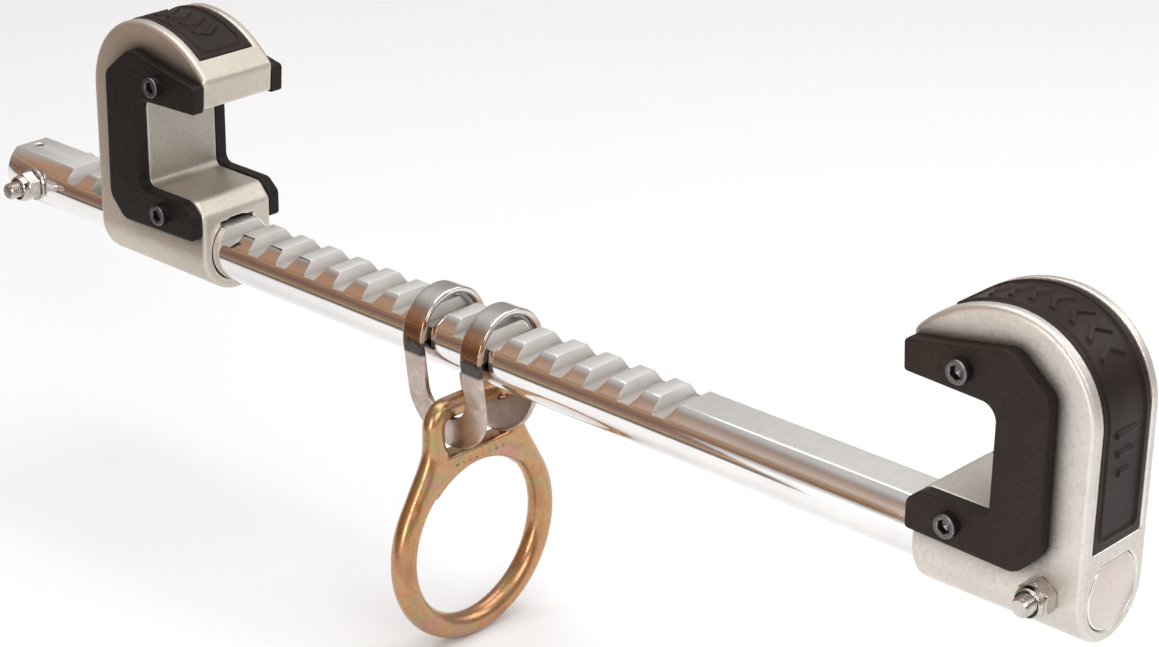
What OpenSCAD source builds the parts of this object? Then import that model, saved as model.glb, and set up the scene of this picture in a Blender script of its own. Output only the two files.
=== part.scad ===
// Sliding beam clamp anchor: a notched bar, one bolted jaw, one sliding jaw with a spring lock,
// and a saddle that carries a forged ring. Lengths are in mm and +Z is up.
// The bar lies along X. The origin is the middle of the flange seat in the fixed jaw.

/* [Bar] */
// Diameter of the round bar
bar_diameter = 38.1; // [25:0.1:60]
// Overall length of the bar
bar_length = 781; // [600:1:1200]
// Height of the machined flat above the bar's axis
flat_height = 15.57; // [8:0.01:18]
// Distance between neighbouring notches
notch_pitch = 23.3; // [15:0.1:40]
// Number of notches cut in the flat
notch_count = 21; // [5:1:30]
// Distance from the free end to the first notch wall
first_notch = 56.5; // [45:0.5:90]
// Depth of each notch below the flat
notch_depth = 7.7; // [4:0.1:10]
// Length of the level floor of a notch
notch_floor = 8; // [5:0.1:12]
// Length of the ramp that leads out of a notch
notch_ramp = 5.3; // [2:0.1:8]

/* [Jaws] */
// Width of each jaw casting across the bar
jaw_width = 50.5; // [44:0.5:80]
// Depth of each jaw from its lip to its back plane
jaw_depth = 97.5; // [85:0.5:120]
// Distance from the free end of the bar to the lip of the fixed jaw
fixed_lip = 683.5; // [500:0.5:1000]
// Distance from the free end of the bar to the lip of the sliding jaw
sliding_lip = 195.9; // [150:0.1:400]
// Height of the underside of the upper jaw arm above the bar's axis
throat_top = 89.2; // [70:0.1:110]
// Height of the top of the lower jaw arm above the bar's axis
throat_bottom = 31.8; // [30:0.1:45]
// Depth of the throat behind the lip
throat_depth = 50.5; // [30:0.5:54]
// Thickness of each side pad
pad_thickness = 7.6; // [4:0.1:12]

/* [Saddle and ring] */
// Distance from the free end of the bar to the middle of the saddle
saddle_middle = 380.5; // [350:0.5:560]
// Length of the saddle along the bar
saddle_length = 57; // [40:0.5:90]
// Thickness of the saddle plate
saddle_plate = 3.4; // [2.5:0.1:5]
// Radius inside the two hoops of the saddle
saddle_inner = 21.5; // [20.8:0.1:26]
// Radius of the ring's centre line
ring_radius = 53; // [40:0.5:80]
// Diameter of the ring's round section
ring_section = 14; // [10:0.1:20]
// Diameter of the ring's top bar and posts
post_section = 12; // [8:0.1:16]

/* [Hidden] */
$fn = 96;
bar_r = bar_diameter / 2;
half_width = jaw_width / 2;
seat_x = fixed_lip + throat_depth / 2;
seat_z = throat_top;
notch_z = flat_height - notch_depth;
running_gap = 0.4;
edge_round = 2.5;
// The rear arc and the front arc of a jaw share one top point above this depth.
arc_u = jaw_depth - 47.5;
rear_arc_r = 47.5;
rear_arc_z = 81.5;
front_arc_r = 67.5;
front_arc_z = 61.5;
front_arc_span = 49.5;
lip_u = -1.3;
lip_z = 105.3;
lower_end_u = 4.5;
band_half = 19.3;
band_recess = 2.2;
band_low = 23.8;
band_front_angle = 128;
upper_screw = [31.5, 97.8];
lower_screw = [30.7, 21.8];
screw_head_r = 5.95;
screw_head_h = 7.9;
screw_r = 3.95;
screw_length = 16;
head_sunk = 2.8;
bolt_r = 5;
bolt_across = 16;
bolt_head_h = 6.4;
nut_h = 11.9;
jaw_bolt_u = 77;
stop_x = 27;
spot_y = 18.45;
washer_t = 2;
// The lock's toe stands in the fourth notch from the free end.
toe_wall_x = first_notch + 3 * notch_pitch;
toe_u0 = sliding_lip - (toe_wall_x + 7);
toe_u1 = sliding_lip - (toe_wall_x + 0.3);
toe_mid_u = (toe_u0 + toe_u1) / 2;
toe_z = notch_z + 0.4;
pawl_half = 8;
pawl_top = 46;
pawl_lift = 9;
arm_low = 36;
arm_half = 5;
spring_r = 3.4;
wire_r = 0.5;
spring_turns = 10;
plug_z = 84;
pivot_z = -33.8;
post_y = 30;
bend_r = 9;
ring_z = -116.5;
web_z = -61.2;
web_half = 5;
leg_angle = 8;
slot_half = 14.3;
liner_t = 1.5;
liner_gap = 0.3;
liner_wide = 7;
slot_z = pivot_z - post_section / 2 - 0.1 + slot_half;
plate_end_z = -58 + saddle_length / 2;

// Moves bar coordinates to the part's own frame.
module in_frame() {
    translate([-seat_x, 0, -seat_z]) children();
}

// Places a piece drawn outward from the lip on the fixed jaw.
module on_fixed() {
    in_frame() translate([fixed_lip, 0, 0]) children();
}

// Places a piece drawn outward from the lip on the sliding jaw.
module on_sliding() {
    in_frame() translate([sliding_lip, 0, 0]) mirror([1, 0, 0]) children();
}

// Extrudes a side view, drawn as (u, z), across the jaw between two widths.
module across(low, high) {
    translate([0, high, 0]) rotate([90, 0, 0]) linear_extrude(high - low) children();
}

// Rectangle from the axis to a radius, with its two outer corners rounded.
module rounded_section(radius) {
    translate([0, -half_width]) square([radius - edge_round, jaw_width]);
    translate([0, -half_width + edge_round])
        square([radius, jaw_width - 2 * edge_round]);
    for (side = [-1, 1])
        translate([radius - edge_round, side * (half_width - edge_round)])
            circle(edge_round);
}

// Ring sector about an axis across the jaw, from one angle to another.
module sector(middle_u, middle_z, start, span) {
    translate([middle_u, 0, middle_z]) rotate([90, 0, 0]) rotate([0, 0, start])
        rotate_extrude(angle = span) children();
}

// Side view of the space that a beam flange enters.
module throat_view() {
    top_r = 8;
    low_r = 5;
    translate([-30, throat_bottom])
        square([30 + throat_depth - top_r, throat_top - throat_bottom]);
    translate([-30, throat_bottom + low_r])
        square([30 + throat_depth, throat_top - throat_bottom - top_r - low_r]);
    translate([throat_depth - top_r, throat_top - top_r]) circle(top_r);
    translate([throat_depth - low_r - 3, throat_bottom])
        square([3, 20]);
    translate([throat_depth - low_r, throat_bottom + low_r]) circle(low_r);
}

// Outside of a jaw before any cuts.
module jaw_block() {
    sector(arc_u, rear_arc_z, 0, 90) rounded_section(rear_arc_r);
    sector(arc_u, front_arc_z, 90, front_arc_span) rounded_section(front_arc_r);
    translate([arc_u, 0, 0]) linear_extrude(rear_arc_z) rounded_section(rear_arc_r);
    across(-half_width, half_width)
        polygon([[lip_u, lip_z], [0, throat_top], [0, throat_top - 6],
            [arc_u + 1, front_arc_z - 5], [arc_u + 1, front_arc_z + 20], [4, lip_z - 0.3]]);
    across(-half_width, half_width)
        polygon([[lower_end_u, 0], [arc_u + 1, 0], [arc_u + 1, throat_bottom + 12],
            [arc_u - 20, throat_bottom], [11.9, throat_bottom], [lower_end_u, 23.8]]);
    translate([lower_end_u, 0, 0]) rotate([0, 90, 0]) rotate_extrude() {
        square([half_width - edge_round, jaw_depth - lower_end_u]);
        square([half_width, jaw_depth - lower_end_u - edge_round]);
        translate([half_width - edge_round, jaw_depth - lower_end_u - edge_round])
            circle(edge_round);
    }
}

// Passage for the bar: round, with a channel over the flat at the inner end.
module bar_passage(gap) {
    across_flat = flat_height + gap;
    difference() {
        translate([-10, 0, 0]) rotate([0, 90, 0]) cylinder(r = bar_r + gap, h = 130);
        translate([17, -30, across_flat]) cube([130, 60, 30]);
        translate([-11, -30, 19]) cube([132, 60, 30]);
    }
    translate([-10, -12.1, 5]) cube([27, 24.2, 14]);
}

// Shallow pocket for the band over the rim and down the back.
module band_pocket() {
    sector(arc_u, rear_arc_z, 0, 90)
        translate([rear_arc_r - band_recess, -band_half]) square([10, 2 * band_half]);
    sector(arc_u, front_arc_z, 90, band_front_angle - 90)
        translate([front_arc_r - band_recess, -band_half]) square([10, 2 * band_half]);
    translate([jaw_depth - band_recess, -band_half, band_low])
        cube([10, 2 * band_half, rear_arc_z - band_low]);
}

// Tapped holes for the four pad screws.
module pad_screw_holes() {
    for (at = [upper_screw, lower_screw])
        for (side = [-1, 1])
            translate([at[0], side * (half_width + 1), at[1]])
                rotate([side * 90, 0, 0]) cylinder(r = 4, h = 13.5);
}

// One jaw casting, shared by both jaws.
module jaw_casting(gap) {
    difference() {
        jaw_block();
        across(-60, 60) throat_view();
        bar_passage(gap);
        band_pocket();
        pad_screw_holes();
    }
}

// Round cornered outline of a side pad, drawn as (u, z).
module pad_view() {
    difference() {
        polygon([[-0.7, 103.3], [0, 87.6], [50.4, 85.6], [50.4, 32.4], [13.6, 32.4],
            [5.1, 25.3], [5.7, 10.9], [66.3, 9.2], [78.2, 21.6], [77.2, 96.5], [56, 113.8]]);
        difference() {
            translate([42.4, 77.8]) square([9, 9]);
            translate([42.4, 77.8]) circle(8);
        }
    }
    difference() {
        translate([44.4, 77.8]) square([8, 10]);
        translate([42.4, 77.7]) circle(8);
    }
    difference() {
        translate([45.4, 30.4]) square([6, 7]);
        translate([45.4, 37.4]) circle(5);
    }
}

// Side pad on the -Y side of a jaw, with its screw seats.
module pad() {
    difference() {
        across(-half_width - pad_thickness, -half_width) pad_view();
        for (at = [upper_screw, lower_screw]) {
            translate([at[0], -half_width + 1, at[1]]) rotate([90, 0, 0])
                cylinder(r = 4.2, h = pad_thickness + 2);
            translate([at[0], -half_width - pad_thickness + head_sunk, at[1]])
                rotate([90, 0, 0]) cylinder(r = screw_head_r + 0.3, h = head_sunk + 1);
        }
    }
}

// Cap screw with a hexagon socket, standing on the XY plane with its head up.
module cap_screw() {
    difference() {
        union() {
            cylinder(r = screw_head_r, h = screw_head_h - 0.6);
            translate([0, 0, screw_head_h - 0.6])
                cylinder(r1 = screw_head_r, r2 = screw_head_r - 0.6, h = 0.6);
            translate([0, 0, -screw_length + 0.8]) cylinder(r = screw_r, h = screw_length);
            translate([0, 0, -screw_length])
                cylinder(r1 = screw_r - 0.8, r2 = screw_r, h = 0.8);
        }
        translate([0, 0, screw_head_h - 4]) cylinder(d = 6.35 / cos(30), h = 5, $fn = 6);
    }
}

// The four cap screws that hold the pads of one jaw.
module pad_screws() {
    for (at = [upper_screw, lower_screw])
        for (side = [-1, 1])
            translate([at[0], side * (half_width + pad_thickness - head_sunk), at[1]])
                rotate([-side * 90, 0, 0]) cap_screw();
}

// Band that fills the pocket, with a raised border round its edge.
module band(window) {
    low_r = rear_arc_r - band_recess;
    base = 1.4;
    rise = 0.7;
    wide = band_half - 0.3;
    inner = wide - 4;
    difference() {
        union() {
            sector(arc_u, rear_arc_z, 0, 90)
                translate([low_r, -wide]) square([base + rise, 2 * wide]);
            sector(arc_u, front_arc_z, 90, band_front_angle - 90.3)
                translate([front_arc_r - band_recess, -wide]) square([base + rise, 2 * wide]);
            translate([jaw_depth - band_recess, -wide, band_low + 0.3])
                cube([base + rise, 2 * wide, rear_arc_z - band_low - 0.3]);
        }
        sector(arc_u, rear_arc_z, 0, 90)
            translate([low_r + base, -inner]) square([5, 2 * inner]);
        sector(arc_u, front_arc_z, 90, band_front_angle - 94)
            translate([front_arc_r - band_recess + base, -inner]) square([5, 2 * inner]);
        translate([jaw_depth - band_recess + base, -inner, band_low + 4.3])
            cube([5, 2 * inner, rear_arc_z - band_low - 4.3]);
        if (window)
            translate([jaw_depth - 6, -arm_half - 0.5, arm_low - 0.6])
                cube([20, 2 * arm_half + 1, pawl_top - arm_low + pawl_lift + 1.2]);
    }
}

// Hexagon prism with one chamfered end, standing on the XY plane.
module hexagon(height) {
    intersection() {
        cylinder(d = bolt_across / cos(30), h = height, $fn = 6);
        union() {
            cylinder(r = 20, h = height - 1.2);
            translate([0, 0, height - 1.2])
                cylinder(r1 = 9.9, r2 = 7.8, h = 1.2);
        }
    }
}

// Hexagon bolt along -Y with its head outward on +Y.
module cross_bolt(head_y, end_y) {
    translate([0, head_y, 0]) rotate([-90, 0, 0]) hexagon(bolt_head_h);
    translate([0, head_y, 0]) rotate([90, 0, 0]) cylinder(r = bolt_r, h = head_y - end_y - 1);
    translate([0, end_y + 1, 0]) rotate([90, 0, 0])
        cylinder(r1 = bolt_r, r2 = bolt_r - 1, h = 1);
}

// Lock nut whose seat is at the given distance, opening towards -Y.
module lock_nut(seat_y) {
    hex_h = 8;
    translate([0, seat_y, 0]) rotate([90, 0, 0]) difference() {
        union() {
            hexagon(hex_h);
            translate([0, 0, hex_h - 0.1]) cylinder(r = 7.6, h = nut_h - hex_h - 1.1);
            translate([0, 0, nut_h - 1.2]) cylinder(r1 = 7.6, r2 = 6.6, h = 1.2);
        }
        translate([0, 0, -1]) cylinder(r = bolt_r + 0.05, h = nut_h + 2);
        translate([0, 0, nut_h - 3.9]) cylinder(r = 6.3, h = 2.9);
        translate([0, 0, nut_h - 1.1]) cylinder(r = 5.7, h = 2);
    }
}

// Plastic ring inside a lock nut.
module nut_insert(seat_y) {
    translate([0, seat_y - nut_h + 3.85, 0]) rotate([90, 0, 0]) difference() {
        cylinder(r = 6.25, h = 2.7);
        translate([0, 0, -1]) cylinder(r = bolt_r + 0.05, h = 5);
    }
}

module notched_bar() {
    color([0.80, 0.80, 0.79]) in_frame() difference() {
        rotate([0, 90, 0]) union() {
            cylinder(r1 = bar_r - 0.8, r2 = bar_r, h = 0.8);
            translate([0, 0, 0.8]) cylinder(r = bar_r, h = bar_length - 1.6);
            translate([0, 0, bar_length - 0.8]) cylinder(r1 = bar_r, r2 = bar_r - 0.8, h = 0.8);
        }
        translate([-1, -30, flat_height]) cube([bar_length + 2, 60, 20]);
        for (i = [0 : notch_count - 1])
            translate([first_notch + i * notch_pitch, 0, 0]) across(-30, 30)
                polygon([[0, notch_z], [notch_floor, notch_z],
                    [notch_floor + notch_ramp, flat_height],
                    [notch_floor + notch_ramp, flat_height + 3], [0, flat_height + 3]]);
        translate([fixed_lip + jaw_bolt_u, 30, 0]) rotate([90, 0, 0])
            cylinder(r = bolt_r + 0.25, h = 60);
        translate([stop_x, 30, 0]) rotate([90, 0, 0]) cylinder(r = bolt_r + 0.25, h = 60);
        for (side = [-1, 1])
            translate([stop_x, side * spot_y, 0]) rotate([-side * 90, 0, 0])
                cylinder(r = 10.6, h = 5);
        translate([8.5, 0, -30]) cylinder(r = 2.75, h = 60);
    }
}

module fixed_jaw() {
    color([0.70, 0.68, 0.65]) on_fixed() difference() {
        jaw_casting(0.15);
        translate([jaw_bolt_u, 40, 0]) rotate([90, 0, 0]) cylinder(r = bolt_r + 0.25, h = 80);
    }
}

module fixed_pad_front() {
    color([0.10, 0.09, 0.09]) on_fixed() pad();
}

module fixed_pad_back() {
    color([0.10, 0.09, 0.09]) on_fixed() mirror([0, 1, 0]) pad();
}

module fixed_pad_screws() {
    color([0.16, 0.15, 0.15]) on_fixed() pad_screws();
}

module fixed_band() {
    color([0.05, 0.05, 0.05]) on_fixed() band(false);
}

module jaw_bolt() {
    color([0.78, 0.77, 0.74]) on_fixed() translate([jaw_bolt_u, 0, 0])
        cross_bolt(half_width, -43);
}

module stop_bolt() {
    color([0.78, 0.77, 0.74]) in_frame() translate([stop_x, 0, 0])
        cross_bolt(spot_y, -39.4);
}

module stop_washer() {
    color([0.75, 0.75, 0.73]) in_frame() translate([stop_x, -spot_y, 0])
        rotate([90, 0, 0]) difference() {
            cylinder(r = 10, h = washer_t);
            translate([0, 0, -1]) cylinder(r = bolt_r + 0.25, h = washer_t + 2);
        }
}

module lock_nuts() {
    color([0.78, 0.77, 0.74]) on_fixed() translate([jaw_bolt_u, 0, 0]) lock_nut(-half_width);
    color([0.78, 0.77, 0.74]) in_frame() translate([stop_x, 0, 0])
        lock_nut(-spot_y - washer_t);
}

module nut_inserts() {
    color([0.12, 0.11, 0.13]) on_fixed() translate([jaw_bolt_u, 0, 0]) nut_insert(-half_width);
    color([0.12, 0.11, 0.13]) in_frame() translate([stop_x, 0, 0])
        nut_insert(-spot_y - washer_t);
}

module sliding_jaw() {
    color([0.70, 0.68, 0.65]) on_sliding() difference() {
        jaw_casting(running_gap);
        translate([toe_u0 - 0.4, -pawl_half - 0.3, 5])
            cube([toe_u1 - toe_u0 + 0.8, 2 * pawl_half + 0.6, pawl_top + pawl_lift - 3.5]);
        translate([toe_mid_u, -arm_half - 0.4, arm_low - 0.5])
            cube([60, 2 * arm_half + 0.8, pawl_top - arm_low + pawl_lift + 1]);
        translate([toe_mid_u, 0, pawl_top]) cylinder(r = 4.3, h = 120);
    }
}

module sliding_pad_front() {
    color([0.10, 0.09, 0.09]) on_sliding() pad();
}

module sliding_pad_back() {
    color([0.10, 0.09, 0.09]) on_sliding() mirror([0, 1, 0]) pad();
}

module sliding_pad_screws() {
    color([0.16, 0.15, 0.15]) on_sliding() pad_screws();
}

module sliding_band() {
    color([0.05, 0.05, 0.05]) on_sliding() band(true);
}

module lock_pawl() {
    color([0.55, 0.55, 0.54]) on_sliding() difference() {
        union() {
            across(-pawl_half, pawl_half)
                polygon([[toe_u0, pawl_top], [toe_u1, pawl_top], [toe_u1, toe_z],
                    [toe_u0 + 3, toe_z], [toe_u0, toe_z + 4.4]]);
            translate([toe_u0, -arm_half, arm_low])
                cube([jaw_depth + 0.7 - toe_u0, 2 * arm_half, pawl_top - arm_low]);
        }
        translate([jaw_depth - 12, 0, (arm_low + pawl_top) / 2]) rotate([0, 90, 0])
            cylinder(r = 2, h = 20);
    }
}

module trigger_tab() {
    color([0.07, 0.07, 0.07]) on_sliding() difference() {
        translate([jaw_depth + 0.7, 0, 33]) linear_extrude(16) {
            translate([0, -9]) square([4, 18]);
            translate([4, -6]) square([3, 12]);
            for (side = [-1, 1]) translate([4, side * 6]) circle(3);
        }
        translate([jaw_depth - 1, 0, (arm_low + pawl_top) / 2]) rotate([0, 90, 0])
            cylinder(r = 2.2, h = 20);
        translate([jaw_depth + 5.2, 0, (arm_low + pawl_top) / 2]) rotate([0, 90, 0])
            cylinder(r = 4, h = 20);
    }
}

module tab_screw() {
    color([0.60, 0.60, 0.58]) on_sliding() difference() {
        translate([jaw_depth - 9, 0, (arm_low + pawl_top) / 2]) rotate([0, 90, 0]) union() {
            cylinder(r = 1.95, h = 16);
            translate([0, 0, 14.2]) cylinder(r = 3.7, h = 2.4);
        }
        translate([jaw_depth + 6.2, 0, (arm_low + pawl_top) / 2]) rotate([0, 90, 0])
            cylinder(d = 2.5 / cos(30), h = 5, $fn = 6);
    }
}

module pawl_spring() {
    low = pawl_top + wire_r + 0.05;
    high = plug_z - wire_r - 0.05;
    half_rise = (high - low) / (2 * spring_turns);
    tilt = atan(half_rise / (2 * spring_r));
    color([0.70, 0.70, 0.68]) on_sliding() translate([toe_mid_u, 0, 0])
        for (i = [0 : 2 * spring_turns - 1])
            translate([0, 0, low + (i + 0.5) * half_rise])
                rotate([0, i % 2 == 0 ? tilt : -tilt, 0])
                    rotate([0, 0, i % 2 == 0 ? 0 : 180])
                        rotate_extrude(angle = 180, $fn = 32)
                            translate([spring_r / cos(tilt), 0]) circle(wire_r, $fn = 16);
}

module spring_plug() {
    color([0.30, 0.30, 0.30]) on_sliding() translate([toe_mid_u, 0, plug_z]) difference() {
        cylinder(r = 4.25, h = 8);
        translate([0, 0, 4]) cylinder(d = 4 / cos(30), h = 5, $fn = 6);
    }
}

// Side view of a hook that is filled in: a half circle with legs that lean in.
module hook(r) {
    lean = 62 * tan(leg_angle);
    intersection() {
        circle(r);
        translate([-60, 0]) square([120, 60]);
    }
    polygon([[1 - r, 3], [-r, 0], [lean - r, -62], [r - lean, -62], [r, 0], [r - 1, 3]]);
}

// Thin glides between the bar and the two hoops.
module saddle_liner() {
    outer = saddle_inner - liner_gap;
    color([0.62, 0.60, 0.57]) in_frame() translate([saddle_middle, 0, 0])
        for (side = [-1, 1])
            translate([side * (slot_half + saddle_length / 2) / 2 - liner_wide / 2, 0, 0])
                rotate([90, 0, 90]) linear_extrude(liner_wide) difference() {
                    circle(outer);
                    circle(outer - liner_t);
                    polygon([[0, 0], [60, -4], [60, -60], [-60, -60], [-60, -4]]);
                }
}

module saddle() {
    half = saddle_length / 2;
    color([0.74, 0.72, 0.70]) in_frame() translate([saddle_middle, 0, 0]) intersection() {
        translate([-half, 0, 0]) rotate([90, 0, 90]) linear_extrude(saddle_length)
            difference() {
                hook(saddle_inner + saddle_plate);
                hook(saddle_inner);
            }
        across(-40, 40) difference() {
            union() {
                translate([-half, plate_end_z]) square([saddle_length, 80]);
                translate([0, plate_end_z]) circle(half);
            }
            translate([-slot_half, slot_z]) square([2 * slot_half, 80]);
            translate([0, slot_z]) circle(slot_half);
        }
    }
}

module anchor_ring() {
    post_r = post_section / 2;
    color([0.66, 0.46, 0.27]) in_frame() translate([saddle_middle, 0, 0]) {
        difference() {
            translate([0, 0, ring_z]) rotate([0, 90, 0]) rotate_extrude()
                translate([ring_radius, 0]) circle(ring_section / 2);
            translate([-20, -25, web_z]) cube([40, 50, 20]);
        }
        translate([0, post_y - bend_r, pivot_z]) rotate([90, 0, 0])
            cylinder(r = post_r, h = 2 * (post_y - bend_r));
        for (side = [-1, 1]) {
            translate([0, side * (post_y - bend_r), pivot_z - bend_r]) rotate([90, 0, 90])
                rotate([0, 0, side > 0 ? 0 : 90]) rotate_extrude(angle = 90)
                    translate([bend_r, 0]) circle(post_r);
            translate([0, side * post_y, ring_z + 42])
                cylinder(r = post_r, h = pivot_z - bend_r - ring_z - 42);
        }
        translate([-web_half, 0, 0]) rotate([90, 0, 90]) linear_extrude(2 * web_half)
            difference() {
                translate([-post_y, ring_z + 30]) square([2 * post_y, web_z - ring_z - 30]);
                translate([0, ring_z]) circle(ring_radius - ring_section / 2 + 1);
            }
    }
}

notched_bar();
fixed_jaw();
fixed_pad_front();
fixed_pad_back();
fixed_pad_screws();
fixed_band();
jaw_bolt();
stop_bolt();
stop_washer();
lock_nuts();
nut_inserts();
sliding_jaw();
sliding_pad_front();
sliding_pad_back();
sliding_pad_screws();
sliding_band();
lock_pawl();
trigger_tab();
tab_screw();
pawl_spring();
spring_plug();
saddle_liner();
saddle();
anchor_ring();
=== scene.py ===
"""Detailed look of the sliding beam clamp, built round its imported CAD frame.

Sizes are in millimetres in the bar's own coordinates: X runs from the free end of the bar, and
Y and Z start at its axis. place() turns them into the frame's metres.
"""
import math

import bpy
import numpy as np
from mathutils import Matrix, Vector


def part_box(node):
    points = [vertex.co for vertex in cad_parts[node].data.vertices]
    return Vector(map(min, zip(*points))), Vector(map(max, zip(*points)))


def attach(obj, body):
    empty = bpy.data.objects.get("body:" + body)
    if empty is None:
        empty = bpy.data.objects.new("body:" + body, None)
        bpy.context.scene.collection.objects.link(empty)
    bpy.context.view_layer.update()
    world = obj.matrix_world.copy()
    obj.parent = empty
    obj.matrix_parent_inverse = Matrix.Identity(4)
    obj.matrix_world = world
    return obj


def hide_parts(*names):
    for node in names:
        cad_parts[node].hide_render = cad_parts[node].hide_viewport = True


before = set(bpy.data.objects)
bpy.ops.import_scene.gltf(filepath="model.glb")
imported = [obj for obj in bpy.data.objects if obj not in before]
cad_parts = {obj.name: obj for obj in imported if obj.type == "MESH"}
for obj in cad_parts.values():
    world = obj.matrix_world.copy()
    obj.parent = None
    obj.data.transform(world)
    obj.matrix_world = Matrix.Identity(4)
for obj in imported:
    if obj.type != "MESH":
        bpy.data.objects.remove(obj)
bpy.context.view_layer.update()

# ---------------------------------------------------------------- places taken from the frame
bar_low, bar_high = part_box("notched_bar")
BAR_R = (bar_high.y - bar_low.y) * 500
BAR_END = (bar_high.x - bar_low.x) * 1000
START_X = bar_low.x
AXIS_Z = bar_low.z + BAR_R / 1000
FIXED_LIP = (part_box("fixed_jaw")[1].x - START_X) * 1000 - 97.5
SLIDING_LIP = (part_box("sliding_jaw")[0].x - START_X) * 1000 + 97.5
SADDLE_X = (sum(corner.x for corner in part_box("saddle")) / 2 - START_X) * 1000
FLAT_Z = (bar_high.z - AXIS_Z) * 1000
NOTCH_Z = FLAT_Z - 7.7
HALF = 25.25
TOE_U = SLIDING_LIP - (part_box("lock_pawl")[1].x - START_X) * 1000
TOE_MIDDLE = TOE_U + 3.35


def place(points):
    """Bar millimetres to frame metres."""
    points = np.asarray(points, float)
    return points / 1000 + np.array([START_X, 0, AXIS_Z])


def on_fixed(points):
    """Bolted jaw's millimetres, from its lip along the bar, to bar millimetres."""
    points = np.asarray(points, float)
    return points + np.array([FIXED_LIP, 0, 0])


def on_sliding(points):
    """The same for the sliding jaw, which faces the other way."""
    points = np.asarray(points, float)
    return points * np.array([-1, 1, 1]) + np.array([SLIDING_LIP, 0, 0])


# ---------------------------------------------------------------- camera
scene = bpy.context.scene
camera_data = bpy.data.cameras.new("camera")
camera = bpy.data.objects.new("camera", camera_data)
scene.collection.objects.link(camera)
RIGHT = Vector((0.7336752, 0.6793782, 0.0128822))
UP = Vector((-0.2769732, 0.2816901, 0.9186602))
BACK = Vector((0.6204889, -0.6775663, 0.3948386))
camera.matrix_world = Matrix((
    (RIGHT.x, UP.x, BACK.x, 0.657294),
    (RIGHT.y, UP.y, BACK.y, -0.992559),
    (RIGHT.z, UP.z, BACK.z, 0.521136),
    (0, 0, 0, 1),
))
camera_data.sensor_width = 36
camera_data.lens = 89.04
camera_data.clip_start = 0.05
camera_data.clip_end = 50
scene.camera = camera


# ---------------------------------------------------------------- shape tools
def round_max(a, b, r):
    """Overlap of two fields, with a round edge of radius r."""
    return np.minimum(-r, np.maximum(a, b)) + np.hypot(np.maximum(a + r, 0), np.maximum(b + r, 0))


def soft_min(a, b, k):
    h = np.clip(0.5 + 0.5 * (b - a) / k, 0, 1)
    return b * (1 - h) + a * h - k * h * (1 - h)


def slope(field, p, e=0.02):
    g = np.empty_like(p)
    for i in range(3):
        d = np.zeros(3)
        d[i] = e
        g[:, i] = (field(*(p + d).T) - field(*(p - d).T)) / (2 * e)
    return g


def skin(field, low, high, step):
    """Quads over the surface where the field is zero. The field is negative inside."""
    low = np.array(low, float)
    count = np.ceil((np.array(high, float) - low) / step).astype(int) + 1
    axes = [low[i] + step * np.arange(count[i]) for i in range(3)]
    d = field(*np.meshgrid(*axes, indexing="ij"))
    inside = d < 0
    n = count - 1
    total = np.zeros(n, np.int8)
    for i in (0, 1):
        for j in (0, 1):
            for k in (0, 1):
                total += inside[i:i + n[0], j:j + n[1], k:k + n[2]]
    mixed = (total > 0) & (total < 8)
    index = np.full(mixed.shape, -1, np.int64)
    index[mixed] = np.arange(mixed.sum())
    cell = np.argwhere(mixed)
    place_sum = np.zeros((len(cell), 3))
    hits = np.zeros(len(cell))
    for axis in range(3):
        b, c = [a for a in range(3) if a != axis]
        for i in (0, 1):
            for j in (0, 1):
                start = np.zeros(3, int)
                start[b], start[c] = i, j
                stop = start.copy()
                stop[axis] = 1
                d0 = d[tuple((cell + start).T)]
                d1 = d[tuple((cell + stop).T)]
                cross = (d0 < 0) != (d1 < 0)
                t = np.where(cross, d0 / np.where(cross, d0 - d1, 1), 0)
                p = np.repeat(start[None].astype(float), len(cell), 0)
                p[:, axis] += t
                place_sum += np.where(cross[:, None], p, 0)
                hits += cross
    p = low + step * (cell + place_sum / hits[:, None])
    for _ in range(4):
        g = slope(field, p)
        move = (field(*p.T) / np.maximum((g * g).sum(1), 0.2))[:, None] * g
        size = np.linalg.norm(move, axis=1, keepdims=True)
        p = p - move * np.minimum(1, 0.5 * step / np.maximum(size, 1e-9))
    quads = []
    for axis in range(3):
        b, c = (axis + 1) % 3, (axis + 2) % 3
        s0 = [slice(None)] * 3
        s1 = [slice(None)] * 3
        s0[axis], s1[axis] = slice(0, -1), slice(1, None)
        first, second = inside[tuple(s0)], inside[tuple(s1)]
        for out in (True, False):
            at = np.argwhere((first & ~second) if out else (~first & second))
            keep = (at[:, b] > 0) & (at[:, b] < count[b] - 1)
            keep &= (at[:, c] > 0) & (at[:, c] < count[c] - 1)
            at = at[keep]
            corners = []
            for db, dc in ((1, 1), (0, 1), (0, 0), (1, 0)):
                q = at.copy()
                q[:, b] -= db
                q[:, c] -= dc
                corners.append(index[tuple(q.T)])
            corners = np.stack(corners, 1)
            quads.append(corners if out else corners[:, ::-1])
    return p, np.concatenate(quads)


def loft(sections, closed=False):
    """Faces between equal loops of points, with end caps unless the row of loops closes."""
    sections = [np.asarray(s, float) for s in sections]
    n = len(sections[0])
    verts = np.concatenate(sections)
    faces = []
    rows = len(sections)
    for r in range(rows if closed else rows - 1):
        a, b = r * n, ((r + 1) % rows) * n
        for i in range(n):
            j = (i + 1) % n
            faces.append((a + i, a + j, b + j, b + i))
    if not closed:
        faces.append(tuple(range(n))[::-1])
        faces.append(tuple((rows - 1) * n + i for i in range(n)))
    return verts, faces


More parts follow.
